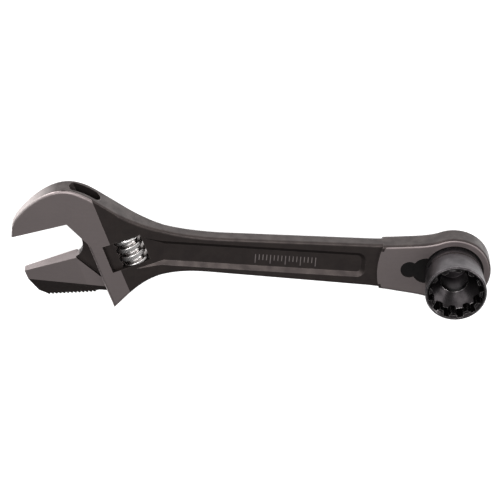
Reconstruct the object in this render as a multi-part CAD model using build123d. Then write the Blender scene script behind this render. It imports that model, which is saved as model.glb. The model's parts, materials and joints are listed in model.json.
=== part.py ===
from build123d import *
import os
from copy import copy
from math import atan2, cos, degrees, pi, radians, sin, sqrt, tan

# Adjustable wrench with a reversible jaw at one end and a ratchet socket at the other.
# Millimetres. X runs along the handle to the ratchet, Y is the handle's width, Z is the
# thickness. The model is built about the handle's centre line, and is moved at the end
# so that its origin is the bottom centre of its box.

# ---- thicknesses, all symmetric about one mid-plane ----
HEAD_T = 11.8
HANDLE_T = 6.6
RATCHET_T = 9.4
MID_Z = HEAD_T / 2
EDGE_ROUND = 1.2

# ---- jaw head: A runs along the jaw faces, N along the jaw's travel ----
JAW_ANGLE = 22.5
FIXED_FACE_N = 40.7
OPENING = 17.1
MOVING_FACE_N = FIXED_FACE_N - OPENING
FRONT_WALL_A = -62.1
THROAT_A = -67.3
THROAT_N = 30.0
MILLED_EDGE_A = -53.1
FORGED_STEP = 0.25
FIXED_TIP_A = -92.4
HEEL_N = -4.2
TAPER_END = (-104.0, 1.9)
TAPER_START_X = -70.5
CHEEK_X = (-58.0, -37.3)
CHEEK_BEND_R = 16.0

# ---- keyway, window and worm ----
RACK_A = -55.8
RACK_R = 5.1
RACK_HALF_T = 3.2
KEYWAY_CLEAR = 0.15
KEYWAY_LEFT_A = -69.6
KEYWAY_TOP_N = 50.2
KEYWAY_N = (-12.0, 70.0)
WEB_T = 4.3
WORM_A = -46.2
WORM_R = 5.9
WORM_ROOT_R = 3.95
WORM_LEAD = 4.0
WORM_L = 12.6
WINDOW_A = (-56.6, -39.8)
WINDOW_N = (12.7, 26.1)
THREAD_CREST_W = 1.9
THREAD_BASE_W = 2.6
THREAD_BACKLASH = 0.15
THREAD_TURN_TO_RACK = 0.75
PIN_R = 2.0
PIN_CLEAR = 0.05
PIN_N = (4.6, 31.0)
SPRING_WIRE_R = 0.32
SPRING_MEAN_R = 2.62
SPRING_TURNS = 4
SPRING_PITCH = 1.1
SPRING_SEAT_R = 3.2
SPRING_SEAT_L = 5.0

# ---- movable jaw ----
JAW_HALF_T = 3.7
JAW_TIP_HALF_T = 1.95
JAW_TIP_A = -92.8
JAW_HEEL_A = -69.4
RACK_N = (4.0, 32.0)
TEETH_START = (-66.9, 5.4)
TEETH_END = (-88.0, 9.6)
TEETH_COUNT = 13
TEETH_DEPTH = 0.9
RIDGE_START = (-91.3, 18.7)
RIDGE_BEND = (JAW_HEEL_A, 9.6)
RIDGE_END = (-63.4, 6.8)
BEVEL_DIP = 13.0

# ---- handle ----
NECK_HALF_W = 8.5
HANDLE_END_HALF_W = 10.1
PANEL_X = (-52.0, 49.5)
PANEL_HALF_W = 5.9
PANEL_DEPTH = 1.2
PANEL_SLOPE_W = 1.9
PANEL_END_R = 1.7
PANEL_FADE_X = -36.0
PANEL_FADE_SLOPE = 0.218
PANEL_CUT_RISE = 2.4

# ---- ratchet head ----
DRIVE_X = 87.0
RING_R = 15.9
PAWL_ROOM_X = 75.3
PAWL_ROOM_R = 5.65
SELECT_X = 68.2
SELECT_ROOM_R = 3.3
RATCHET_START_X = 54.6
PLATE_R = 12.9
PLATE_PAWL_R = 6.1
PLATE_SELECT_R = 3.85
PLATE_SUNK = 0.6
PLATE_T = 1.2
PLATE_HOLE_R = 11.15
FLOOR_T = 1.5
GEAR_TIP_R = 12.0
GEAR_ROOT_R = 11.35
GEAR_TEETH = 72
FLOOR_HOLE_R = 6.7
WASHER_T = 0.62
RUN_CLEAR = 0.15
HEX_FLATS = 15.6

# ---- socket ----
SOCKET_TOP_Z = 28.2
SOCKET_NECK_R = 10.9
SOCKET_SKIRT_R = 11.9
SOCKET_MOUTH_R = 13.0
SOCKET_RIM = 0.5
SPLINE_TIP_R = 10.1
SPLINE_ROOT_R = 11.8
SPLINE_COUNT = 12
SPLINE_L = 7.4
CONE_L = 4.0
BORE_R = 5.85
BORE_FLOOR_T = 2.2
DRAIN_R = 2.9

# ---- selector ----
SELECT_SWING = 27.0
PAWL_SWING = 9.0
PAWL_STEPS = 9
PAWL_PIVOT_X = 72.0
PAWL_PIN_R = 0.9
LEVER_T = 1.1
LEVER_SHAFT_R = 2.2
DETENT_BALL_R = 0.75
DETENT_BORE_R = 0.8

RATCHET_Z = (MID_Z - RATCHET_T / 2, MID_Z + RATCHET_T / 2)
PLATE_Z = (RATCHET_Z[1] - PLATE_SUNK - PLATE_T, RATCHET_Z[1] - PLATE_SUNK)
CAVITY_Z = (RATCHET_Z[0] + FLOOR_T, PLATE_Z[0])
GAP = 0.05
SKIRT_Z = PLATE_Z[1] + 0.3
RING_Z = (CAVITY_Z[0] + 0.14, CAVITY_Z[0] + 0.6)
RING_IN_R = 7.95
O_RING_Z = (RATCHET_Z[0] + 0.45, RATCHET_Z[0] + 1.0)
SELECT_REACH = 2.85
DETENT_DEPTH = 1.3
DETENT_Z = sum(CAVITY_Z) / 2

_c, _s = cos(radians(JAW_ANGLE)), sin(radians(JAW_ANGLE))
A_DIR = Vector(_c, _s, 0)
N_DIR = Vector(-_s, _c, 0)
HEAD = Plane(origin=(0, 0, MID_Z), x_dir=A_DIR, z_dir=(0, 0, 1))
SIDE = Plane(origin=(0, 0, MID_Z), x_dir=A_DIR, z_dir=-N_DIR)


def head_xy(a, n):
    """Handle-frame X and Y of a point given along the jaw faces and the travel."""
    return (a * _c - n * _s, a * _s + n * _c)


def along_travel(a, n):
    """A plane at (a, n) whose Z is the jaw's travel, used for round things on that line."""
    x, y = head_xy(a, n)
    return Plane(origin=(x, y, MID_Z), x_dir=(0, 0, 1), z_dir=N_DIR)


def flattened_rod(a, n0, n1, r, half_t):
    """A cylinder along the jaw's travel with a flat on its upper and lower side."""
    flats = HEAD * Pos(a, (n0 + n1) / 2) * Box(2 * r + 1, n1 - n0 + 1, 2 * half_t)
    return rod(a, n0, n1, r) & flats


def rod(a, n0, n1, r):
    """A cylinder along the jaw's travel."""
    return along_travel(a, n0) * Cylinder(r, n1 - n0, align=(Align.CENTER, Align.CENTER, Align.MIN))


def disc(x, y, z0, z1, r):
    """An upright cylinder."""
    return Pos(x, y, z0) * Cylinder(r, z1 - z0, align=(Align.CENTER, Align.CENTER, Align.MIN))


def slab(sketch, z0, z1):
    """A flat sketch on XY made into a solid between two heights."""
    return extrude(Pos(0, 0, z0) * sketch, z1 - z0)


def closed_face(*lines):
    return make_face(Wire([edge for line in lines for edge in line.edges()]))


# ------------------------------------------------------------------ wrench body

def body_outline():
    """The outer line: tip, jaw faces, front wall, heel, handle, ratchet ring and back."""
    tip = head_xy(FIXED_TIP_A, FIXED_FACE_N)
    throat_top = head_xy(THROAT_A, FIXED_FACE_N)
    throat_low = head_xy(FRONT_WALL_A, THROAT_N)
    heel = head_xy(FRONT_WALL_A, HEEL_N)
    ring_join_x = DRIVE_X - 6.6
    ring_join_y = sqrt(RING_R ** 2 - (DRIVE_X - ring_join_x) ** 2)
    lower_neck = Spline(
        heel, (-50.0, -20.9), (-40.0, -12.7), (-29.0, -9.2), (-14.0, -NECK_HALF_W),
        tangents=[(1, 1.12), (1, -0.02)])
    lower_side = Line((-14.0, -NECK_HALF_W), (50.0, -HANDLE_END_HALF_W))
    lower_flare = Spline(
        (50.0, -HANDLE_END_HALF_W), (66.0, -11.5), (ring_join_x, -ring_join_y),
        tangents=[(1, -0.025), (1, -0.46)])
    ring = ThreePointArc(
        (ring_join_x, -ring_join_y), (DRIVE_X + RING_R, 0), (ring_join_x, ring_join_y))
    upper_flare = Spline(
        (ring_join_x, ring_join_y), (66.0, 11.5), (50.0, HANDLE_END_HALF_W),
        tangents=[(-1, -0.46), (-1, -0.025)])
    upper_side = Line((50.0, HANDLE_END_HALF_W), (-14.0, NECK_HALF_W))
    back = Spline(
        (-14.0, NECK_HALF_W), (-40.0, 11.4), (-60.0, 20.3), (-78.0, 27.9), (-92.0, 21.2),
        (-100.4, 9.8), tip,
        tangents=[(-1, 0.02), (-0.03, -1)])
    return closed_face(
        Line(tip, throat_top), Line(throat_top, throat_low), Line(throat_low, heel),
        lower_neck, lower_side, lower_flare, ring, upper_flare, upper_side, back)


def half_profile():
    """Upper half of the jaw head and handle seen from the side: thickness against X."""
    points = [
        (TAPER_END[0], 0), TAPER_END, (TAPER_START_X, HEAD_T / 2),
        (CHEEK_X[0], HEAD_T / 2), (CHEEK_X[1], HANDLE_T / 2), (106.0, HANDLE_T / 2), (106.0, 0)]
    profile = make_face(Polyline(*points, close=True))
    bends = [v for v in profile.vertices() if CHEEK_X[0] - 1 < v.X < CHEEK_X[1] + 1]
    return fillet(bends, CHEEK_BEND_R)


def thickness_block():
    """Everything within the side profile, and the thicker ratchet head behind its arc."""
    profile = half_profile()
    both = profile + mirror(profile, about=Plane.XZ)
    block = Pos(0, 0, MID_Z) * extrude(Plane.XZ * both, 60, both=True)
    end_x, end_y, far_x = RATCHET_START_X + 5.0, 18.0, 106.0
    edge = ThreePointArc((end_x, end_y), (RATCHET_START_X, 0), (end_x, -end_y))
    rest = Polyline((end_x, -end_y), (far_x, -end_y), (far_x, end_y), (end_x, end_y))
    return block + slab(closed_face(edge, rest), *RATCHET_Z)


def on_both_faces(cutter):
    """A cutter for the upper face, and its mirror image for the lower one."""
    return cutter + mirror(cutter, about=Plane.XY.offset(MID_Z))


def is_rounded(edge):
    """The long outer edges of both faces. Jaw faces, creases and corners stay crisp."""
    middle, along = edge.position_at(0.5), edge.tangent_at(0.5)
    straight = edge.geom_type == GeomType.LINE
    on_face = abs(along.Z) < 0.9
    crease = straight and abs(along.Y) > 0.999
    jaw_face = straight and middle.X < -50
    step = abs(middle.Y) < 8 and 50 < middle.X < 60
    return on_face and not (crease or jaw_face or step)


def forged_cheek():
    """Leaves the milled strip standing a little above the forged cheek behind it."""
    area = make_face(Polyline(
        (MILLED_EDGE_A, -12), (-20, -12), (-20, 60), (MILLED_EDGE_A, 60), close=True))
    return extrude(HEAD * (Pos(0, 0, HEAD_T / 2 - FORGED_STEP) * area), 2)


def panel_recess():
    """The sunk panel: sloping walls, and a floor that fades out where the cheek rises."""
    face_z = MID_Z + HANDLE_T / 2
    floor_z = face_z - PANEL_DEPTH
    slope = PANEL_SLOPE_W / PANEL_DEPTH
    sections = []
    for z in (floor_z, face_z + PANEL_CUT_RISE):
        grow = slope * (z - face_z)
        length = PANEL_X[1] - PANEL_X[0] + 2 * grow
        corner = PANEL_END_R + slope * (z - floor_z)
        shape = RectangleRounded(length, 2 * (PANEL_HALF_W + grow), corner)
        sections.append(Pos(sum(PANEL_X) / 2, 0, z) * shape)
    top_z = HEAD_T + 1
    rise = PANEL_FADE_SLOPE * (PANEL_FADE_X - PANEL_X[0])
    above_floor = Polyline(
        (PANEL_X[0], floor_z + rise), (PANEL_FADE_X, floor_z), (PANEL_X[1] + 5, floor_z),
        (PANEL_X[1] + 5, top_z), (PANEL_X[0], top_z), close=True)
    limit = extrude(Plane.XZ * make_face(above_floor), 20, both=True)
    return loft(sections) & limit


def plate_shape(grow=0.0):
    """Three joined discs, over the gear, the pawl and the selector."""
    return (Pos(DRIVE_X, 0) * Circle(PLATE_R + grow)
            + Pos(PAWL_ROOM_X, 0) * Circle(PLATE_PAWL_R + grow)
            + Pos(SELECT_X, 0) * Circle(PLATE_SELECT_R + grow))


def ratchet_cavity():
    low, high = CAVITY_Z
    plate_seat = slab(plate_shape(), PLATE_Z[0], HEAD_T)
    gear_room = disc(DRIVE_X, 0, low, HEAD_T, GEAR_TIP_R + RUN_CLEAR)
    pawl_room = disc(PAWL_ROOM_X, 0, low, HEAD_T, PAWL_ROOM_R)
    select_room = disc(SELECT_X, 0, low, HEAD_T, SELECT_ROOM_R)
    floor_hole = disc(DRIVE_X, 0, -1, low, FLOOR_HOLE_R)
    shaft_hole = disc(SELECT_X, 0, -1, low, LEVER_SHAFT_R + 0.08)
    pin_hole = disc(PAWL_PIVOT_X, 0, low - 0.8, low, PAWL_PIN_R)
    return [plate_seat, gear_room, pawl_room, select_room, floor_hole, shaft_hole, pin_hole]


def jaw_cuts():
    window_w = WINDOW_A[1] - WINDOW_A[0]
    window_l = WINDOW_N[1] - WINDOW_N[0]
    window = HEAD * Pos(sum(WINDOW_A) / 2, sum(WINDOW_N) / 2) * Box(window_w, window_l, 20)
    keyway = flattened_rod(
        RACK_A, KEYWAY_N[0], KEYWAY_N[1], RACK_R + KEYWAY_CLEAR, RACK_HALF_T + KEYWAY_CLEAR)
    slot_w, slot_l = RACK_A - KEYWAY_LEFT_A, KEYWAY_TOP_N - KEYWAY_N[0]
    slot_at = Pos(KEYWAY_LEFT_A + slot_w / 2, KEYWAY_N[0] + slot_l / 2)
    slot = HEAD * slot_at * Box(slot_w, slot_l, WEB_T + 2 * KEYWAY_CLEAR)
    pin_hole = rod(WORM_A, -2, PIN_N[1] + 0.1, PIN_R + 0.02)
    return [window, keyway, slot, pin_hole]


def wrench_body():
    body = slab(body_outline(), 0, HEAD_T) & thickness_block()
    body = fillet([edge for edge in body.edges() if is_rounded(edge)], EDGE_ROUND)
    body -= on_both_faces(forged_cheek())
    body -= on_both_faces(panel_recess())
    for cutter in jaw_cuts() + ratchet_cavity():
        body -= cutter
    return body


# ------------------------------------------------------------------ worm and pin

def thread_section(crest_w, base_w, tip_r, base_r):
    """Thread cross-section on local XZ: X is the radius, Z the width."""
    outline = Polyline(
        (base_r, -base_w / 2), (tip_r, -crest_w / 2), (tip_r, crest_w / 2),
        (base_r, base_w / 2), close=True)
    return Plane.XZ * make_face(outline)


def worm():
    """Single-start right-hand worm, bored for its pin and counterbored for its spring."""
    extra = WORM_LEAD
    turns_l = WORM_L + 2 * extra
    path = Helix(WORM_LEAD, turns_l, WORM_ROOT_R)
    section = thread_section(THREAD_CREST_W, THREAD_BASE_W, WORM_R, WORM_ROOT_R - 0.3)
    thread = Pos(0, 0, -extra) * sweep(section, path=path, is_frenet=True)
    core = Cylinder(WORM_ROOT_R, WORM_L, align=(Align.CENTER, Align.CENTER, Align.MIN))
    limit = Cylinder(WORM_R + 1, WORM_L, align=(Align.CENTER, Align.CENTER, Align.MIN))
    solid = core + (thread & limit)
    solid -= Pos(0, 0, WORM_L / 2) * Cylinder(PIN_R + PIN_CLEAR, WORM_L + 2)
    solid -= Cylinder(
        SPRING_SEAT_R, SPRING_SEAT_L, align=(Align.CENTER, Align.CENTER, Align.MIN))
    clear_end = (WINDOW_N[1] - WINDOW_N[0] - WORM_L) / 2
    return along_travel(WORM_A, WINDOW_N[0] + clear_end) * solid


def worm_pin():
    """Plain pin with a slotted end, in the head's lower edge."""
    pin = rod(WORM_A, PIN_N[0], PIN_N[1], PIN_R)
    slot = along_travel(WORM_A, PIN_N[0]) * Box(0.7, 2 * PIN_R + 1, 1.4)
    return pin - slot


def wire_coil(pitch, turns, mean_r, wire_r):
    path = Helix(pitch, turns * pitch, mean_r)
    start = Plane(origin=path @ 0, z_dir=path % 0)
    return sweep(start * Circle(wire_r), path=path, is_frenet=True)


def worm_spring():
    """Small compression spring in the worm's counterbore, around the pin."""
    coil = wire_coil(SPRING_PITCH, SPRING_TURNS, SPRING_MEAN_R, SPRING_WIRE_R)
    return along_travel(WORM_A, WINDOW_N[0] + SPRING_WIRE_R + 0.12) * coil


# ------------------------------------------------------------------ movable jaw

def jaw_outline():
    """Jaw, neck web and the strip that joins them to the round rack, seen from the front."""
    face = Line((JAW_TIP_A, MOVING_FACE_N), (JAW_HEEL_A, MOVING_FACE_N))
    hollow = Spline(
        (JAW_HEEL_A, MOVING_FACE_N), (-66.4, 25.2), (-64.4, 30.0),
        tangents=[(1, 0.1), (0.12, 1)])
    web = Polyline((-64.4, 30.0), (-64.3, 31.6), (RACK_A, 31.6), (RACK_A, RACK_N[0]),
                   (FRONT_WALL_A - 0.2, RACK_N[0]), (-65.4, 5.3), TEETH_START)
    teeth = tooth_line()
    nose = Polyline(TEETH_END, (-90.6, 12.1), (-92.7, 19.2), (JAW_TIP_A, MOVING_FACE_N))
    return closed_face(face, hollow, web, teeth, nose)


def tooth_line():
    """Saw teeth between the heel and the nose."""
    ax, ay = TEETH_START
    bx, by = TEETH_END
    length = sqrt((bx - ax) ** 2 + (by - ay) ** 2)
    ux, uy = (bx - ax) / length, (by - ay) / length
    points = [TEETH_START]
    for i in range(TEETH_COUNT):
        root = (i + 0.35) / TEETH_COUNT * length
        tip = (i + 1) / TEETH_COUNT * length
        points.append((ax + ux * root - uy * TEETH_DEPTH, ay + uy * root + ux * TEETH_DEPTH))
        points.append((ax + ux * tip, ay + uy * tip))
    return Polyline(*points)


def jaw_profile():
    """Half thickness along A: full at the heel, thin at the tip, web thickness behind."""
    tip_a = JAW_TIP_A - 1
    points = [
        (tip_a, 0), (tip_a, JAW_TIP_HALF_T), (JAW_HEEL_A, JAW_HALF_T),
        (RACK_A + 1, JAW_HALF_T), (RACK_A + 1, 0)]
    return make_face(Polyline(*points, close=True))


def web_cutter():
    """Thins the neck behind the slanted cheek down to the web, on the upper side."""
    half_web = WEB_T / 2
    area = make_face(Polyline(
        (JAW_HEEL_A, MOVING_FACE_N), (FRONT_WALL_A - 0.2, 10.9),
        (FRONT_WALL_A - 0.2, RACK_N[0] - 2), (-50, RACK_N[0] - 2), (-50, 40),
        (JAW_HEEL_A, 40), close=True))
    return extrude(HEAD * (Pos(0, 0, half_web) * area), 5)


def face_half_t(a):
    """Half the jaw's thickness at a place along its face."""
    tip_a = JAW_TIP_A - 1
    taper = (JAW_HALF_T - JAW_TIP_HALF_T) / (JAW_HEEL_A - tip_a)
    return min(JAW_HALF_T, JAW_TIP_HALF_T + taper * (a - tip_a))


def above_bevel(start, end):
    """All above a plane that holds one stretch of the ridge and dips away below it."""
    start = Vector(*start, face_half_t(start[0]))
    end = Vector(*end, face_half_t(end[0]))
    ridge = (end - start).normalized()
    down = Vector(ridge.Y, -ridge.X, 0).normalized()
    down = (down - Vector(0, 0, tan(radians(BEVEL_DIP)))).normalized()
    dip = Plane(origin=start, x_dir=ridge, z_dir=down.cross(ridge))
    return HEAD * (dip * Box(120, 60, 10, align=(Align.CENTER, Align.CENTER, Align.MIN)))


def lower_bevel():
    """The forged bevel under the milled face, in one stretch along the taper and one behind."""
    return above_bevel(RIDGE_START, RIDGE_BEND) + above_bevel(RIDGE_BEND, RIDGE_END)


def rack_groove(n):
    """One slanting rack groove, the shape of the worm's thread with backlash."""
    tip_r, base_r = WORM_R + 0.12, WORM_ROOT_R - 0.2
    outline = make_face(Polyline(
        (-tip_r, -THREAD_CREST_W / 2 - THREAD_BACKLASH),
        (-base_r, -THREAD_BASE_W / 2 - THREAD_BACKLASH),
        (-base_r, THREAD_BASE_W / 2 + THREAD_BACKLASH),
        (-tip_r, THREAD_CREST_W / 2 + THREAD_BACKLASH), close=True))
    lead_slope = degrees(atan2(WORM_LEAD, 2 * pi * WORM_R))
    groove = extrude(HEAD * (Pos(WORM_A, n) * outline), 8, both=True)
    tilt_axis = Axis((*head_xy(WORM_A, n), MID_Z), A_DIR)
    return groove.rotate(tilt_axis, -lead_slope)


def movable_jaw():
    jaw = extrude(HEAD * jaw_outline(), JAW_HALF_T, both=True)
    profile = jaw_profile()
    jaw &= extrude(SIDE * (profile + mirror(profile, about=Plane.XZ)), 80, both=True)
    jaw -= on_both_faces(web_cutter())
    jaw -= on_both_faces(lower_bevel())
    rack = flattened_rod(RACK_A, RACK_N[0], RACK_N[1], RACK_R, RACK_HALF_T)
    phase = thread_phase_n()
    first = phase - WORM_LEAD * int((phase - RACK_N[0]) / WORM_LEAD + 1)
    n = first
    while n < RACK_N[1] + WORM_LEAD:
        rack -= rack_groove(n)
        n += WORM_LEAD
    return jaw + rack


def thread_phase_n():
    """Where the thread's centre crosses the rack side of the worm at mid thickness."""
    start_n = WINDOW_N[0] + (WINDOW_N[1] - WINDOW_N[0] - WORM_L) / 2 - WORM_LEAD
    return start_n + WORM_LEAD * THREAD_TURN_TO_RACK


# ------------------------------------------------------------------ ratchet

def gear_profile(grow=0.0):
    """Tooth outline of the ratchet gear, with straight flanks."""
    points = []
    for i in range(GEAR_TEETH):
        for share, r in ((-0.32, GEAR_ROOT_R), (-0.1, GEAR_TIP_R),
                         (0.1, GEAR_TIP_R), (0.32, GEAR_ROOT_R)):
            a = 2 * pi * (i + 0.5 + share) / GEAR_TEETH
            points.append(((r + grow) * cos(a), (r + grow) * sin(a)))
    return make_face(Polyline(*points, close=True))


def hexagon(flats):
    return RegularPolygon(flats / sqrt(3), 6)


def ratchet_gear():
    low = CAVITY_Z[0] + WASHER_T + 0.06
    high = CAVITY_Z[1] - GAP
    gear = slab(Pos(DRIVE_X, 0) * gear_profile(), low, high)
    return gear - slab(Pos(DRIVE_X, 0) * hexagon(HEX_FLATS + 0.1), 0, HEAD_T)


def thrust_washer():
    low = CAVITY_Z[0] + 0.02
    washer = disc(DRIVE_X, 0, low, low + WASHER_T, GEAR_ROOT_R - 0.2)
    return washer - disc(DRIVE_X, 0, 0, 20, 9.9)


def spline_profile():
    """Mouth of the socket: twelve blunt teeth pointing inwards."""
    points = []
    for i in range(SPLINE_COUNT):
        for share, r in ((-0.30, SPLINE_ROOT_R), (-0.17, SPLINE_TIP_R),
                         (0.17, SPLINE_TIP_R), (0.30, SPLINE_ROOT_R)):
            a = 2 * pi * (i + share) / SPLINE_COUNT
            points.append((r * cos(a), r * sin(a)))
    return make_face(Polyline(*points, close=True))


def socket():
    """Flared socket on a neck and a hexagon shank, with a deep bore and a small drain hole."""
    base_z = CAVITY_Z[1]
    shank_z = CAVITY_Z[0] + 0.04
    outline = Polyline(
        (0, base_z), (SOCKET_NECK_R, base_z), (SOCKET_NECK_R, SKIRT_Z),
        (SOCKET_SKIRT_R, SKIRT_Z), (SOCKET_SKIRT_R, SKIRT_Z + 1),
        (SOCKET_MOUTH_R, SOCKET_TOP_Z - 2), (SOCKET_MOUTH_R, SOCKET_TOP_Z - SOCKET_RIM),
        (SOCKET_MOUTH_R - SOCKET_RIM, SOCKET_TOP_Z), (0, SOCKET_TOP_Z), close=True)
    shell = revolve(Plane.XZ * make_face(outline), Axis.Z)
    shell = Pos(DRIVE_X, 0, 0) * shell
    shell += slab(Pos(DRIVE_X, 0) * hexagon(HEX_FLATS), shank_z, base_z)
    shell -= disc(DRIVE_X, 0, shank_z - 1, SOCKET_TOP_Z, DRAIN_R)
    shell -= disc(DRIVE_X, 0, shank_z + BORE_FLOOR_T, SOCKET_TOP_Z, BORE_R)
    spline_z = SOCKET_TOP_Z - SPLINE_L
    shell -= slab(Pos(DRIVE_X, 0) * spline_profile(), spline_z, SOCKET_TOP_Z + 1)
    lead_in = Cone(SPLINE_ROOT_R - 0.7, SPLINE_ROOT_R + 0.25, 0.9,
                   align=(Align.CENTER, Align.CENTER, Align.MAX))
    shell -= Pos(DRIVE_X, 0, SOCKET_TOP_Z + 0.02) * lead_in
    cone = Cone(BORE_R, SPLINE_ROOT_R, CONE_L, align=(Align.CENTER, Align.CENTER, Align.MAX))
    shell -= Pos(DRIVE_X, 0, spline_z) * cone
    low, high = RING_Z
    groove = disc(DRIVE_X, 0, low - 0.03, high + 0.03, 12)
    return shell - (groove - disc(DRIVE_X, 0, 0, 20, RING_IN_R - 0.03))


def snap_ring():
    """Split ring in the shank's groove, just below the gear."""
    low, high = RING_Z
    ring = disc(DRIVE_X, 0, low, high, 9.6) - disc(DRIVE_X, 0, 0, 20, RING_IN_R)
    return ring - Pos(DRIVE_X + 9, 0, low) * Box(4, 2.6, 4)


def cover_plate():
    plate = slab(plate_shape(-0.03), *PLATE_Z)
    return plate - disc(DRIVE_X, 0, 0, 20, PLATE_HOLE_R)


# ------------------------------------------------------------------ selector

def turned(solid, angle, x):
    """A solid turned about an upright axis on the centre line."""
    return Pos(x, 0, 0) * Rotation(0, 0, angle) * Pos(-x, 0, 0) * solid


def pawl():
    """Rocker with a toothed horn each side of its pin; one horn or the other is in the gear."""
    low, high = CAVITY_Z[0] + 0.15, CAVITY_Z[1] - 0.1
    room = disc(PAWL_ROOM_X, 0, low, high, PAWL_ROOM_R - 0.1)
    clear_gear = slab(Pos(DRIVE_X, 0) * gear_profile(0.06), 0, HEAD_T)
    clear_selector = disc(SELECT_X, 0, 0, HEAD_T, SELECT_REACH + 0.1)
    body = room
    for step in range(-PAWL_STEPS, PAWL_STEPS + 1):
        swing = PAWL_SWING * step / PAWL_STEPS
        body &= turned(room, swing, PAWL_PIVOT_X)
        body -= turned(clear_gear, swing, PAWL_PIVOT_X)
        body -= turned(clear_selector, swing, PAWL_PIVOT_X)
    body -= disc(DRIVE_X, 0, 0, HEAD_T, GEAR_TIP_R + 0.03)
    body -= clear_selector
    body -= disc(PAWL_PIVOT_X, 0, 0, HEAD_T, PAWL_PIN_R + 0.05)
    return turned(body, PAWL_SWING, PAWL_PIVOT_X)


def pawl_pin():
    low, high = CAVITY_Z[0] - 0.8, CAVITY_Z[1]
    return disc(PAWL_PIVOT_X, 0, low, high, PAWL_PIN_R)


def selector_lever():
    """Low lever with a thumb tab on the back face; its shaft holds the detent."""
    top = RATCHET_Z[0] - GAP
    low = top - LEVER_T
    lever = disc(SELECT_X, 0, low, top, 3.9)
    lever += slab(Pos(SELECT_X - 4.6, 0) * RectangleRounded(9.0, 4.4, 1.6), low, top)
    lever = fillet(lever.faces().sort_by(Axis.Z)[0].edges(), 0.3)
    lever += disc(SELECT_X, 0, top, CAVITY_Z[1] - 0.1, LEVER_SHAFT_R)
    lever -= Pos(SELECT_X, 0, sum(O_RING_Z) / 2) * Torus(LEVER_SHAFT_R, 0.27)
    bore = Rotation(0, 90, 0) * Cylinder(
        DETENT_BORE_R, 6, align=(Align.CENTER, Align.CENTER, Align.MIN))
    lever -= Pos(SELECT_X - DETENT_DEPTH, 0, DETENT_Z) * bore
    return turned(lever, -SELECT_SWING, SELECT_X)


def lever_o_ring():
    return Pos(SELECT_X, 0, sum(O_RING_Z) / 2) * Torus(LEVER_SHAFT_R - 0.13, 0.13)


def detent_ball():
    ball = Pos(SELECT_X + SELECT_REACH - DETENT_BALL_R, 0, DETENT_Z) * Sphere(DETENT_BALL_R)
    return turned(ball, -SELECT_SWING, SELECT_X)


def detent_spring():
    """Small spring behind the ball, in the selector's cross bore."""
    wire_r, turns = 0.11, 5
    mean_r = DETENT_BORE_R - wire_r - 0.04
    left = -DETENT_DEPTH + wire_r + 0.02
    right = SELECT_REACH - 2 * DETENT_BALL_R - wire_r + 0.3
    coil = wire_coil((right - left) / turns, turns, mean_r, wire_r)
    placed = Pos(SELECT_X + left, 0, DETENT_Z) * Rotation(0, 90, 0) * coil
    return turned(placed, -SELECT_SWING, SELECT_X)


PARTS = {
    "wrench_body": wrench_body,
    "movable_jaw": movable_jaw,
    "worm": worm,
    "worm_pin": worm_pin,
    "worm_spring": worm_spring,
    "ratchet_gear": ratchet_gear,
    "thrust_washer": thrust_washer,
    "socket": socket,
    "snap_ring": snap_ring,
    "cover_plate": cover_plate,
    "pawl": pawl,
    "pawl_pin": pawl_pin,
    "selector_lever": selector_lever,
    "lever_o_ring": lever_o_ring,
    "detent_ball": detent_ball,
    "detent_spring": detent_spring,
}

def to_origin(solids):
    """The move that puts the bottom centre of everything's box at the origin."""
    box = Compound(children=solids).bounding_box()
    return Pos(-box.center().X, -box.center().Y, -round(box.min.Z, 3))


if __name__ == "__main__":
    os.makedirs("parts", exist_ok=True)
    made = {name: make() for name, make in PARTS.items()}
    move = to_origin([copy(solid) for solid in made.values()])
    for name, solid in made.items():
        placed = move * solid
        export_step(placed, f"parts/{name}.step")
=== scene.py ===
import json
from math import atan2, cos, pi, radians, sin

import bmesh
import bpy
from mathutils import Matrix, Vector


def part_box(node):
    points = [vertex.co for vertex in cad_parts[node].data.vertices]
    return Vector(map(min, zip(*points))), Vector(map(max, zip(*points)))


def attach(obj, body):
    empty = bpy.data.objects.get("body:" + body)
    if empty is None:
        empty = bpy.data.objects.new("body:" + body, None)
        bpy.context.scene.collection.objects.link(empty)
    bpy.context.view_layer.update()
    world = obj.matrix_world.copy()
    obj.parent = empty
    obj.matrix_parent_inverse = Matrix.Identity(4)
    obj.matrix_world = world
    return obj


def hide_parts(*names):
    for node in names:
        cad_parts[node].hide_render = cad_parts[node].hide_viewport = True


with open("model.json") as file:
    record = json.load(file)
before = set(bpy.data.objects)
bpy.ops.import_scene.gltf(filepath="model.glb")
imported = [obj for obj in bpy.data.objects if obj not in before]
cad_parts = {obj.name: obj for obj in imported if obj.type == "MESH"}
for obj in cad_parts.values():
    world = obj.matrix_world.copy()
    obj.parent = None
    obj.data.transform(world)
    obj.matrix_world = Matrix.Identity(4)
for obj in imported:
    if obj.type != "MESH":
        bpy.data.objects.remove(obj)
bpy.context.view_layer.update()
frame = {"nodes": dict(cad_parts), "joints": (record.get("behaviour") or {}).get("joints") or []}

MM = 0.001
MID_Z = sum(corner.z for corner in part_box("wrench_body")) / 2
TRAVEL = Vector(next(j["axis"] for j in frame["joints"] if j["name"] == "jaw_slide"))
ALONG = Vector((TRAVEL.y, -TRAVEL.x, 0))
DRIVE = Vector(next(j["pos_m"] for j in frame["joints"] if j["name"] == "drive_spin"))
HANDLE_ZERO_TO_DRIVE = 87 * MM
CENTRE_LINE = Vector((DRIVE.x - HANDLE_ZERO_TO_DRIVE, DRIVE.y, 0))

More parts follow.
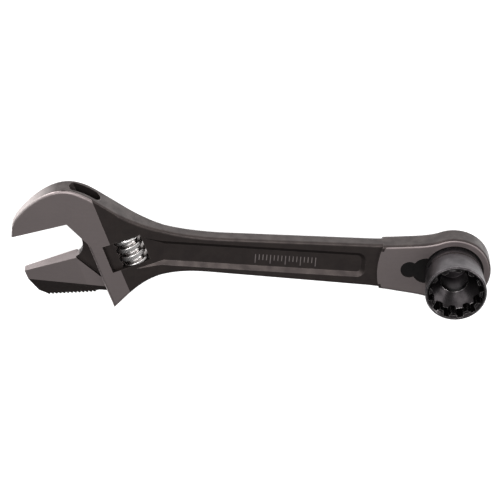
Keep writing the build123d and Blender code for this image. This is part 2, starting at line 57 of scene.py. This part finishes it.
# places where the finish changes, from the handle's zero point, and heights from mid thickness
ALONG_ZERO = CENTRE_LINE.x * ALONG.x + CENTRE_LINE.y * ALONG.y
MILLED_EDGE = ALONG_ZERO - 53.1 * MM
JAW_TIP_PART = ALONG_ZERO - 72 * MM
JAW_NECK = ALONG_ZERO - 62 * MM
WEB_LEVEL = 2.4 * MM
TAPERED = CENTRE_LINE.x - 80.5 * MM
KEYWAY_LEVEL = 4.3 * MM
# Where the fixed jaw's outer wall starts and ends lightening towards the tip: ground finish and partly a
# painted highlight.
GROUND_HIGHLIGHT_START = CENTRE_LINE.x - 83 * MM
GROUND_HIGHLIGHT_FULL = CENTRE_LINE.x - 95 * MM
RING_START = CENTRE_LINE.x + 51 * MM
RING_LEVEL = 4.5 * MM
RING_CORNER = (59.2 * MM, 8.0 * MM, 2.5 * MM)
SOCKET_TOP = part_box("socket")[1].z
# Depth of the socket's hollow that is painted darker as shade.
SOCKET_SHADED_DEPTH = 14 * MM
SPLINE_ROOT = 12.2 * MM


def centre_of(node):
    low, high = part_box(node)
    return (low + high) / 2


# ------------------------------------------------------------------ material helpers

class Nodes:
    """A material's node tree with short calls for the nodes used here."""

    def __init__(self, name):
        self.material = bpy.data.materials.new(name)
        self.material.use_nodes = True
        self.tree = self.material.node_tree
        self.tree.nodes.clear()
        self.place = self.add("ShaderNodeTexCoord")
        self.object = self.place.outputs["Object"]
        self.normal = self.place.outputs["Normal"]

    def add(self, kind, **settings):
        node = self.tree.nodes.new(kind)
        for key, value in settings.items():
            setattr(node, key, value)
        return node

    def put(self, socket, value):
        if isinstance(value, bpy.types.NodeSocket):
            self.tree.links.new(value, socket)
        else:
            socket.default_value = value

    def math(self, operation, a, b=0.0, clamp=False):
        node = self.add("ShaderNodeMath", operation=operation, use_clamp=clamp)
        self.put(node.inputs[0], a)
        self.put(node.inputs[1], b)
        return node.outputs[0]

    def axes(self, vector):
        node = self.add("ShaderNodeSeparateXYZ")
        self.put(node.inputs[0], vector)
        return node.outputs

    def noise(self, scale, detail=3.0, vector=None):
        node = self.add("ShaderNodeTexNoise")
        self.put(node.inputs["Vector"], vector or self.object)
        node.inputs["Scale"].default_value = scale
        node.inputs["Detail"].default_value = detail
        return node.outputs["Fac"]

    def lines(self, direction, across, along):
        """Noise drawn out into fine lines along a direction in the XY plane."""
        turn = self.add("ShaderNodeMapping")
        self.put(turn.inputs["Vector"], self.object)
        turn.inputs["Rotation"].default_value = (0, 0, -atan2(direction.y, direction.x))
        turn.inputs["Scale"].default_value = (along, across, across)
        return self.noise(1.0, 4.0, turn.outputs["Vector"])

    def spread(self, value, low, high, to_low=0.0, to_high=1.0):
        node = self.add("ShaderNodeMapRange", clamp=True)
        for socket, number in zip(node.inputs, (value, low, high, to_low, to_high)):
            self.put(socket, number)
        return node.outputs[0]

    def mix(self, share, a, b, colour=True):
        node = self.add("ShaderNodeMix", data_type="RGBA" if colour else "FLOAT")
        inputs = [s for s in node.inputs if s.enabled]
        self.put(inputs[0], share)
        self.put(inputs[1], a)
        self.put(inputs[2], b)
        return next(s for s in node.outputs if s.enabled)

    def edges(self, radius, reach=0.12):
        """1 on sharp outer and inner edges, 0 on open surfaces."""
        bevel = self.add("ShaderNodeBevel", samples=6)
        bevel.inputs["Radius"].default_value = radius
        plain = self.add("ShaderNodeNewGeometry").outputs["Normal"]
        dot = self.add("ShaderNodeVectorMath", operation="DOT_PRODUCT")
        self.put(dot.inputs[0], bevel.outputs[0])
        self.put(dot.inputs[1], plain)
        return self.spread(dot.outputs["Value"], 1.0, 1.0 - reach)

    def finish(self, colour, metallic, roughness, height, depth, coat=0.0):
        shader = self.add("ShaderNodeBsdfPrincipled")
        self.put(shader.inputs["Base Color"], colour)
        self.put(shader.inputs["Metallic"], metallic)
        self.put(shader.inputs["Roughness"], roughness)
        shader.inputs["Coat Weight"].default_value = coat
        bump = self.add("ShaderNodeBump")
        bump.inputs["Distance"].default_value = depth
        self.put(bump.inputs["Height"], height)
        self.put(shader.inputs["Normal"], bump.outputs[0])
        out = self.add("ShaderNodeOutputMaterial")
        self.put(out.inputs["Surface"], shader.outputs[0])
        return self.material


def rgb(red, green, blue):
    return (red, green, blue, 1.0)


def surface(n, light, dark, rough, blotch, grain, lines=None):
    """Colour, roughness and height of one finish: slow blotches, fine grain and lines."""
    blot = n.spread(n.noise(blotch, 4.0), 0.35, 0.65)
    fine = n.noise(grain, 5.0)
    colour = n.mix(blot, light, dark)
    colour = n.mix(n.spread(fine, 0.3, 0.75, 0.0, 0.35), colour, dark)
    height = fine
    if lines is not None:
        colour = n.mix(n.spread(lines, 0.3, 0.8, 0.0, 0.45), colour, dark)
        height = n.math("ADD", n.math("MULTIPLY", fine, 0.35), lines)
    roughness = n.spread(n.math("ADD", blot, fine), 0.4, 1.5, rough - 0.05, rough + 0.07)
    return colour, roughness, height


FORGED = (rgb(0.060, 0.049, 0.046), rgb(0.042, 0.034, 0.033))
MILLED = (rgb(0.272, 0.232, 0.230), rgb(0.228, 0.194, 0.192))
# Light edge colour: rubbed wear and a painted edge highlight.
EDGE_WEAR_AND_HIGHLIGHT = rgb(0.42, 0.36, 0.35)
# Lighter colour of the fixed jaw's outer wall: ground steel and partly a painted highlight.
GROUND_AND_HIGHLIGHT = rgb(0.50, 0.45, 0.44)


def two_finishes(name, mask_of, line_direction, ground_and_highlight_of=None):
    """Blackened forging with milled faces where the mask says so, and edges lightened partly as rubbed wear
    and partly as a painted edge highlight.
    """
    n = Nodes(name)
    forged = surface(n, *FORGED, 0.42, 220, 2600)
    lines = n.lines(line_direction, 2600, 70)
    milled = surface(n, *MILLED, 0.40, 120, 3600, lines)
    mask = mask_of(n)
    colour = n.mix(mask, forged[0], milled[0])
    rough = n.mix(mask, forged[1], milled[1], colour=False)
    height = n.mix(mask, forged[2], milled[2], colour=False)
    # Sharp edges are lightened, partly as rubbed wear and partly as a painted edge highlight.
    wear_and_edge_highlight = n.math("MULTIPLY", n.edges(0.45 * MM), n.spread(n.noise(520, 3.0), 0.32, 0.7, 0.25, 1.0))
    wear_and_edge_highlight = n.math("MULTIPLY", wear_and_edge_highlight, n.mix(mask, 0.35, 0.8, colour=False))
    colour = n.mix(wear_and_edge_highlight, colour, EDGE_WEAR_AND_HIGHLIGHT)
    if ground_and_highlight_of:
        # The fixed jaw's outer wall is lightened towards the tip: a ground finish and partly a painted
        # highlight.
        colour = n.mix(ground_and_highlight_of(n), colour, GROUND_AND_HIGHLIGHT)
    return n.finish(colour, 0.85, rough, height, 0.02 * MM)


def faces_up(n, least):
    z = n.axes(n.normal)[2]
    return n.math("GREATER_THAN", n.math("ABSOLUTE", z), least)


def inside_corners(n, x, y):
    """0 beyond the rounded left corners of the ratchet end's milled face, else 1."""
    corner_x, corner_y, radius = RING_CORNER
    left = n.math("SUBTRACT", CENTRE_LINE.x + corner_x, x)
    side = n.math("SUBTRACT", n.math("ABSOLUTE", n.math("SUBTRACT", y, CENTRE_LINE.y)), corner_y)
    left = n.math("MAXIMUM", left, 0.0)
    side = n.math("MAXIMUM", side, 0.0)
    both = n.math("GREATER_THAN", n.math("MULTIPLY", left, side), 0.0)
    squares = n.math("ADD", n.math("MULTIPLY", left, left), n.math("MULTIPLY", side, side))
    far = n.math("SQRT", squares)
    outside = n.math("MULTIPLY", both, n.math("GREATER_THAN", far, radius))
    return n.math("SUBTRACT", 1.0, outside)


def body_mask(n):
    """The milled strip and jaw of the head, and the milled face of the ratchet end."""
    x, y, z = n.axes(n.object)[:3]
    along = n.math("ADD", n.math("MULTIPLY", x, ALONG.x), n.math("MULTIPLY", y, ALONG.y))
    raised = n.math("ABSOLUTE", n.math("SUBTRACT", z, MID_Z))
    outside = n.math("LESS_THAN", x, TAPERED)
    outside = n.math("MAXIMUM", outside, n.math("GREATER_THAN", raised, KEYWAY_LEVEL))
    head = n.math("MULTIPLY", n.math("LESS_THAN", along, MILLED_EDGE), outside)
    ring = n.math("GREATER_THAN", x, RING_START)
    ring = n.math("MULTIPLY", ring, n.math("GREATER_THAN", raised, RING_LEVEL))
    ring = n.math("MULTIPLY", ring, inside_corners(n, x, y))
    either = n.math("MAXIMUM", head, ring)
    return n.math("MULTIPLY", either, faces_up(n, 0.4))


def ground_wall_and_highlight(n):
    """The fixed jaw's outer wall, given a lighter ground finish towards the tip that is partly a painted
    highlight standing in for the bright reflection on that wall.
    """
    towards_tip = n.spread(n.axes(n.object)[0], GROUND_HIGHLIGHT_START, GROUND_HIGHLIGHT_FULL)
    sideways = n.math("LESS_THAN", n.math("ABSOLUTE", n.axes(n.normal)[2]), 0.9)
    outer = n.math("GREATER_THAN", n.axes(n.normal)[1], 0.05)
    return n.math("MULTIPLY", n.math("MULTIPLY", towards_tip, sideways), outer)


def jaw_mask(n):
    """The jaw's front and gripping faces. Its lower bevel, its web and its rack stay dark."""
    x, y, z = n.axes(n.object)[:3]
    along = n.math("ADD", n.math("MULTIPLY", x, ALONG.x), n.math("MULTIPLY", y, ALONG.y))
    raised = n.math("ABSOLUTE", n.math("SUBTRACT", z, MID_Z))
    out = n.math("LESS_THAN", along, JAW_TIP_PART)
    out = n.math("MAXIMUM", out, n.math("GREATER_THAN", raised, WEB_LEVEL))
    jaw = n.math("LESS_THAN", along, JAW_NECK)
    facing = n.axes(n.normal)
    up = n.math("GREATER_THAN", n.math("ABSOLUTE", facing[2]), 0.988)
    grip = n.add("ShaderNodeVectorMath", operation="DOT_PRODUCT")
    n.put(grip.inputs[0], n.normal)
    grip.inputs[1].default_value = TRAVEL
    gripping = n.math("GREATER_THAN", grip.outputs["Value"], 0.9)
    return n.math("MULTIPLY", jaw, n.math("MAXIMUM", n.math("MULTIPLY", out, up), gripping))


def plain_steel(name, light, dark, rough, metallic=1.0, edge=0.0, depth=0.01, blotch=400, grain=5000):
    n = Nodes(name)
    colour, roughness, height = surface(n, light, dark, rough, blotch, grain)
    if edge:
        # Sharp edges are lightened, partly as rubbed wear and partly as a painted edge highlight.
        wear_and_edge_highlight = n.math("MULTIPLY", n.edges(0.3 * MM), edge)
        colour = n.mix(wear_and_edge_highlight, colour, EDGE_WEAR_AND_HIGHLIGHT)
    return n.finish(colour, metallic, roughness, height, depth * MM)


def socket_black(name):
    """Satin outer wall, and a glossier inside painted darker as shade in the hollow, with bright blunt
    spline ends that are partly wear and partly a painted highlight.
    """
    n = Nodes(name)
    x, y, z = n.axes(n.object)[:3]
    from_axis = n.add("ShaderNodeCombineXYZ")
    n.put(from_axis.inputs[0], n.math("SUBTRACT", x, DRIVE.x))
    n.put(from_axis.inputs[1], n.math("SUBTRACT", y, DRIVE.y))
    length = n.add("ShaderNodeVectorMath", operation="LENGTH")
    n.put(length.inputs[0], from_axis.outputs[0])
    within = n.math("LESS_THAN", length.outputs["Value"], SPLINE_ROOT)
    # Painted shade: the socket's hollow is given a much darker colour than its outer wall.
    deep = n.math("MULTIPLY", within, n.math("GREATER_THAN", z, SOCKET_TOP - SOCKET_SHADED_DEPTH))
    outer = surface(n, rgb(0.080, 0.072, 0.076), rgb(0.052, 0.047, 0.050), 0.34, 260, 3800)
    inner = surface(n, rgb(0.028, 0.025, 0.026), rgb(0.014, 0.012, 0.013), 0.24, 300, 3000)
    colour = n.mix(deep, outer[0], inner[0])
    rough = n.mix(deep, outer[1], inner[1], colour=False)
    height = n.mix(deep, outer[2], inner[2], colour=False)
    # Sharp edges, the spline ends among them, are lightened partly as wear and partly as a painted
    # highlight.
    wear_and_edge_highlight = n.math("MULTIPLY", n.edges(0.35 * MM), n.spread(n.noise(700, 3.0), 0.35, 0.62, 0.1, 0.9))
    colour = n.mix(wear_and_edge_highlight, colour, rgb(0.5, 0.47, 0.47))
    return n.finish(colour, 0.9, rough, height, 0.012 * MM)


def rubber(name):
    n = Nodes(name)
    colour, roughness, height = surface(n, rgb(0.02, 0.02, 0.021), rgb(0.011, 0.011, 0.012), 0.72, 900, 6000)
    return n.finish(colour, 0.0, roughness, height, 0.02 * MM)


def dress():
    bright = plain_steel("bright_steel", rgb(0.86, 0.83, 0.82), rgb(0.62, 0.6, 0.59), 0.22)
    spring = plain_steel("spring_steel", rgb(0.34, 0.33, 0.32), rgb(0.2, 0.19, 0.19), 0.3)
    gear = plain_steel("gear_steel", rgb(0.20, 0.19, 0.185), rgb(0.12, 0.115, 0.11), 0.33, edge=0.4)
    plate = plain_steel("black_plate", rgb(0.014, 0.012, 0.012), rgb(0.008, 0.007, 0.007), 0.36, 0.6,
                        edge=0.25)
    shell = socket_black("socket_black")
    lever = plain_steel("lever_black", rgb(0.03, 0.027, 0.027), rgb(0.018, 0.016, 0.016), 0.4, 0.8,
                        edge=0.5)
    looks = {
        two_finishes("black_oxide", body_mask, ALONG, ground_wall_and_highlight): ["wrench_body"],
        two_finishes("black_oxide_jaw", jaw_mask, ALONG): ["movable_jaw"],
        bright: ["detent_ball", "worm"],
        spring: ["worm_spring", "worm_pin", "detent_spring"],
        gear: ["ratchet_gear", "thrust_washer", "snap_ring", "pawl", "pawl_pin"],
        plate: ["cover_plate"],
        shell: ["socket"],
        lever: ["selector_lever"],
        rubber("seal_rubber"): ["lever_o_ring"],
    }
    for material, nodes in looks.items():
        for node in nodes:
            mesh = frame["nodes"][node]
            mesh.data.materials.clear()
            mesh.data.materials.append(material)
    return bright


# ------------------------------------------------------------------ camera, floor and light

def look_from(back, up):
    """Rotation of a camera that looks along -back."""
    right = up.cross(back).normalized()
    true_up = back.cross(right).normalized()
    return Matrix((right, true_up, back.normalized())).transposed()


def add_camera():
    turn, tilt = radians(4.1), radians(30.6)
    up = Vector((-sin(turn) * cos(tilt), cos(turn) * cos(tilt), -sin(tilt)))
    back = Vector((-sin(turn) * sin(tilt), cos(turn) * sin(tilt), cos(tilt)))
    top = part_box("wrench_body")[1].z
    aim = Vector((CENTRE_LINE.x, CENTRE_LINE.y + 5.6 * MM, top))
    data = bpy.data.cameras.new("camera")
    data.lens = 201.6
    data.sensor_width = 36
    camera = bpy.data.objects.new("camera", data)
    camera.matrix_world = Matrix.Translation(aim + back * 1.1814) @ look_from(back, up).to_4x4()
    bpy.context.scene.collection.objects.link(camera)
    bpy.context.scene.camera = camera


def add_floor():
    mesh = bpy.data.meshes.new("floor")
    half, cells = 6.0, 24
    bm = bmesh.new()
    bmesh.ops.create_grid(bm, x_segments=cells, y_segments=cells, size=half)
    bm.to_mesh(mesh)
    bm.free()
    floor = bpy.data.objects.new("floor", mesh)
    floor.location.z = -0.0002
    bpy.context.scene.collection.objects.link(floor)
    n = Nodes("floor_paper")
    grain = n.noise(90, 3.0)
    shade = n.mix(grain, rgb(0.93, 0.93, 0.93), rgb(0.96, 0.96, 0.96))
    shader = n.add("ShaderNodeBsdfPrincipled")
    n.put(shader.inputs["Base Color"], shade)
    n.put(shader.inputs["Emission Color"], rgb(1, 1, 1))
    shader.inputs["Emission Strength"].default_value = 0.62
    shader.inputs["Roughness"].default_value = 0.95
    out = n.add("ShaderNodeOutputMaterial")
    n.put(out.inputs["Surface"], shader.outputs[0])
    mesh.materials.append(n.material)


def add_lamp(name, spot, size, power):
    data = bpy.data.lights.new(name, "AREA")
    data.shape = "RECTANGLE"
    data.size, data.size_y = size
    data.energy = power
    lamp = bpy.data.objects.new(name, data)
    spot = Vector(spot)
    up = Vector((0, 1, 0)) if abs(spot.normalized().z) > 0.9 else Vector((0, 0, 1))
    lamp.matrix_world = Matrix.Translation(spot) @ look_from(spot.normalized(), up).to_4x4()
    bpy.context.scene.collection.objects.link(lamp)


def add_sky():
    """A pale studio: bright overhead and behind, dim in front of the object."""
    world = bpy.data.worlds.new("studio")
    world.use_nodes = True
    bpy.context.scene.world = world
    tree = world.node_tree
    tree.nodes.clear()
    place = tree.nodes.new("ShaderNodeTexCoord")
    dot = tree.nodes.new("ShaderNodeVectorMath")
    dot.operation = "DOT_PRODUCT"
    dot.inputs[1].default_value = Vector((0.05, 0.72, 0.69)).normalized()
    ramp = tree.nodes.new("ShaderNodeMapRange")
    for socket, number in zip(ramp.inputs[1:5], (-0.1, 0.95, 0.08, 1.05)):
        socket.default_value = number
    back = tree.nodes.new("ShaderNodeBackground")
    out = tree.nodes.new("ShaderNodeOutputWorld")
    tree.links.new(place.outputs["Generated"], dot.inputs[0])
    tree.links.new(dot.outputs["Value"], ramp.inputs[0])
    tree.links.new(ramp.outputs[0], back.inputs["Strength"])
    tree.links.new(back.outputs[0], out.inputs["Surface"])


def add_studio():
    add_camera()
    add_floor()
    add_sky()
    add_lamp("key", (-0.25, 0.45, 0.95), (0.9, 0.7), 6.0)
    add_lamp("side", (0.75, 0.25, 0.5), (0.4, 0.6), 3.0)
    add_lamp("back_left", (-0.85, 0.75, 0.12), (0.35, 0.5), 7.0)


# ------------------------------------------------------------------ knurled worm

WORM_R = 5.9
WORM_ROOT_R = 3.95
WORM_LEAD = 4.0
WORM_L = 12.6
WORM_BORE_R = 2.1
SEAT_R = 3.2
SEAT_L = 5.0
WORM_START = -4.7
CREST_HALF_W = 0.95
FLANK_W = 0.35
KNURLS = 51
KNURL_DEPTH = 0.08


def thread_height(offset, turn):
    """Radius of the thread's surface at a distance along it from its centre line."""
    far = abs(offset)
    notch = max(0.0, cos(turn * KNURLS)) ** 2 * KNURL_DEPTH
    top = WORM_R - notch * min(1.0, max(0.0, (CREST_HALF_W - far) / 0.25))
    round_over = 0.16 * max(0.0, (far - CREST_HALF_W + 0.22) / 0.22) ** 2
    if far <= CREST_HALF_W:
        return top - round_over
    slope = (far - CREST_HALF_W) / FLANK_W
    return max(WORM_ROOT_R, WORM_R - 0.16 - slope * (WORM_R - WORM_ROOT_R))


def worm_radius(turn, height):
    """Radius at an angle and a height up the worm, in millimetres."""
    lift = (height + WORM_LEAD - WORM_LEAD * turn / (2 * pi)) % WORM_LEAD
    offset = min(lift, WORM_LEAD - lift)
    radius = thread_height(offset, turn)
    end = min(height, WORM_L - height)
    return min(radius, WORM_R - 0.45 + 0.9 * end)


def worm_ring(bm, around, height, radius_at):
    """One ring of points round the worm's axis at a height up it."""
    axis_spot, up = centre_of("worm_pin"), Vector((0, 0, 1))
    ring = []
    for step in range(around):
        turn = 2 * pi * step / around
        radius = radius_at(turn, height)
        spot = up * (radius * cos(turn)) + ALONG * (radius * sin(turn)) + TRAVEL * (height + WORM_START)
        ring.append(bm.verts.new(axis_spot + spot * MM))
    return ring


def make_worm():
    """A fine grid round the worm's axis, closed by its ends, its bore and its spring's seat."""
    around, rows = 408, 127
    bm = bmesh.new()
    heights = [WORM_L * row / (rows - 1) for row in range(rows)]
    rings = [worm_ring(bm, around, height, worm_radius) for height in heights]
    inside = ((WORM_L, WORM_BORE_R), (SEAT_L, WORM_BORE_R), (SEAT_L, SEAT_R), (0.0, SEAT_R))
    for height, radius in inside:
        rings.append(worm_ring(bm, around, height, lambda turn, height, radius=radius: radius))
    for first, second in zip(rings, rings[1:] + rings[:1]):
        for step in range(around):
            after = (step + 1) % around
            bm.faces.new((first[step], first[after], second[after], second[step]))
    bmesh.ops.recalc_face_normals(bm, faces=bm.faces)
    mesh = bpy.data.meshes.new("knurled_worm")
    bm.to_mesh(mesh)
    bm.free()
    for face in mesh.polygons:
        face.use_smooth = True
    return bpy.data.objects.new("knurled_worm", mesh)


def add_worm(material):
    worm = make_worm()
    worm.data.materials.append(material)
    bpy.context.scene.collection.objects.link(worm)
    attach(worm, "worm")
    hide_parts("worm")


# ------------------------------------------------------------------ ticks on the panel

PANEL_LEVEL = 8.0
TICKS = 17
TICK_PITCH = 1.6
TICK_START_X = 2.5
TICK_Y = 1.6
TICK_W = 0.42
TICK_SINK = 0.05
TICK_RISE = 0.04
TICK_SLANT = 0.06
LONG_TICK = 4.4
SHORT_TICK = 2.8


def add_bar(bm, x, y, length):
    """One tick: a low bar with slanted sides, sunk a little into the panel."""
    rings = []
    for level, inset in ((PANEL_LEVEL - TICK_SINK, 0.0), (PANEL_LEVEL + TICK_RISE, TICK_SLANT)):
        left, right = x + inset, x + TICK_W - inset
        top, low = y - inset, y - length + inset
        corners = ((left, low), (right, low), (right, top), (left, top))
        rings.append([bm.verts.new(CENTRE_LINE + Vector((*xy, level)) * MM) for xy in corners])
    base, face = rings
    bm.faces.new(face)
    bm.faces.new(base[::-1])
    for a in range(4):
        b = (a + 1) % 4
        bm.faces.new((base[a], base[b], face[b], face[a]))


def add_ticks():
    """A plain row of light measuring ticks on the upper panel, with every fourth one longer."""
    bm = bmesh.new()
    for step in range(TICKS):
        length = LONG_TICK if step % 4 == 0 else SHORT_TICK
        add_bar(bm, TICK_START_X + step * TICK_PITCH, TICK_Y, length)
    mesh = bpy.data.meshes.new("panel_ticks")
    bm.to_mesh(mesh)
    bm.free()
    mesh.materials.append(plain_steel("tick_mark", rgb(0.34, 0.30, 0.29), rgb(0.22, 0.19, 0.19), 0.45, 0.8))
    ticks = bpy.data.objects.new("panel_ticks", mesh)
    bpy.context.scene.collection.objects.link(ticks)
    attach(ticks, "handle")


bpy.context.scene.view_settings.view_transform = "Standard"
add_studio()
add_ticks()
add_worm(dress())
